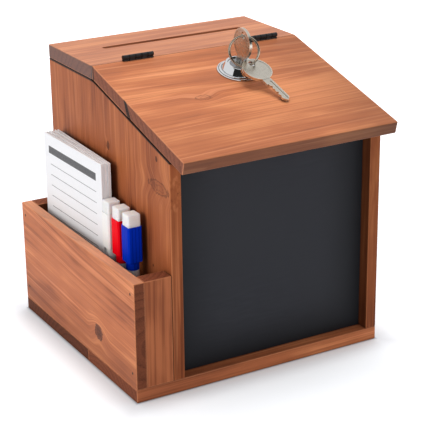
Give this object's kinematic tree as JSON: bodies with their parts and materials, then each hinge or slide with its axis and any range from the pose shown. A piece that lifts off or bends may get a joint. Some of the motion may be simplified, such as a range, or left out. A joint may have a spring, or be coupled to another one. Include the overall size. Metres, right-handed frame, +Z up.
{
  "type": "suggestion box",
  "caption": "Wooden suggestion box with a slanted hinged lid, cam lock with keys, posting slot, front writing board and a side pocket holding cards and markers.",
  "frame": {"origin": "centre of the base's underside, on the surface that the box stands on", "axes": "+X to the right, -Y to the front with the writing board, +Z up"},
  "size_m": [0.223, 0.2317, 0.2592],
  "materials": {
    "stained_pine": "stained pine, satin",
    "lid_pine": "stained pine, satin, grain across the lid",
    "inner_pine": "stained pine, inside faces",
    "chalkboard": "matt black board paint",
    "dowel_wood": "plain beech",
    "black_hinge": "black lacquered steel",
    "screw_steel": "zinc plated",
    "chrome": "polished chrome plate",
    "lock_steel": "nickel plated",
    "key_nickel": "nickel silver, worn satin",
    "ring_steel": "polished steel wire",
    "card": "white card, printed with a grey bar and ruled lines",
    "blue_plastic": "semi-gloss",
    "red_plastic": "semi-gloss",
    "white_plastic": "semi-gloss",
    "barrel_plastic": "pale grey, semi-gloss",
    "felt": "off-white pressed felt",
    "nib_felt": "inked fibre"
  },
  "bodies": {
    "box": {"base_front_board": "stained_pine", "base_rear_board": "stained_pine", "left_side_panel": "stained_pine", "right_side_panel": "stained_pine", "back_panel": "stained_pine", "chalkboard_panel": "chalkboard", "top_board": "lid_pine", "pocket_panel": "stained_pine", "pocket_front_block": "stained_pine", "pocket_rear_block": "stained_pine", "pocket_brads": "screw_steel", "lock_rail": "inner_pine", "strike_plate": "lock_steel", "strike_screws": "screw_steel", "left_hinge_fixed_leaf": "black_hinge", "right_hinge_fixed_leaf": "black_hinge", "left_hinge_pin": "black_hinge", "right_hinge_pin": "black_hinge", "hinge_screws_top": "screw_steel"},
    "lid": {"lid_upper_board": "lid_pine", "lid_lower_board": "lid_pine", "lid_dowels": "dowel_wood", "left_hinge_moving_leaf": "black_hinge", "right_hinge_moving_leaf": "black_hinge", "hinge_screws_lid": "screw_steel", "lock_trim_collar": "chrome", "lock_housing": "chrome", "lock_nut": "lock_steel"},
    "plug": {"lock_plug": "chrome", "lock_cam": "lock_steel", "cam_washer": "lock_steel", "cam_screw": "screw_steel"},
    "key": {"key_in_lock": "key_nickel"},
    "ring": {"key_ring": "ring_steel"},
    "spare": {"spare_key": "key_nickel"},
    "cards": {"card_stack": "card"},
    "blue_marker": {"blue_barrel": "barrel_plastic", "blue_nib": "nib_felt"},
    "blue_cap": {"blue_cap": "blue_plastic", "blue_eraser": "felt"},
    "red_marker": {"red_barrel": "barrel_plastic", "red_nib": "nib_felt"},
    "red_cap": {"red_cap": "red_plastic", "red_eraser": "felt"},
    "white_marker": {"white_barrel": "barrel_plastic", "white_nib": "nib_felt"},
    "white_cap": {"white_cap": "white_plastic", "white_eraser": "felt"}
  },
  "joints": [
    {"name": "lid_hinge", "type": "hinge", "parent": "box", "child": "lid", "pos_m": [0, 0.021, 0.2362], "axis": [-1, 0, 0], "range_deg": [0, 106]},
    {"name": "lock_turn", "type": "hinge", "parent": "lid", "child": "plug", "pos_m": [0.0315, -0.02011, 0.22271], "axis": [0, 0.2538, -0.9673], "range_deg": [0, 90]},
    {"name": "key_pull", "type": "slide", "parent": "plug", "child": "key", "axis": [0, -0.2538, 0.9673], "range_m": [0, 0.023]},
    {"name": "ring_swing", "type": "hinge", "parent": "key", "child": "ring", "pos_m": [0.03144, -0.02833, 0.25291], "axis": [-0.9488, 0.3056, 0.0802], "range_deg": [0, 40]},
    {"name": "spare_key_lift", "type": "hinge", "parent": "ring", "child": "spare", "pos_m": [0.03059, -0.02967, 0.24109], "axis": [-0.652, -0.7451, 0.1405], "range_deg": [0, 40]},
    {"name": "cards_lift", "type": "slide", "parent": "box", "child": "cards", "axis": [0, 0, 1], "range_m": [0, 0.095]},
    {"name": "blue_marker_lift", "type": "slide", "parent": "box", "child": "blue_marker", "axis": [0, 0, 1], "range_m": [0, 0.095]},
    {"name": "blue_cap_pull", "type": "slide", "parent": "blue_marker", "child": "blue_cap", "axis": [0, 0, 1], "range_m": [0, 0.02]},
    {"name": "red_marker_lift", "type": "slide", "parent": "box", "child": "red_marker", "axis": [0, 0, 1], "range_m": [0, 0.095]},
    {"name": "red_cap_pull", "type": "slide", "parent": "red_marker", "child": "red_cap", "axis": [0, 0, 1], "range_m": [0, 0.02]},
    {"name": "white_marker_lift", "type": "slide", "parent": "box", "child": "white_marker", "axis": [0, 0, 1], "range_m": [0, 0.095]},
    {"name": "white_cap_pull", "type": "slide", "parent": "white_marker", "child": "white_cap", "axis": [0, 0, 1], "range_m": [0, 0.02]}
  ]
}
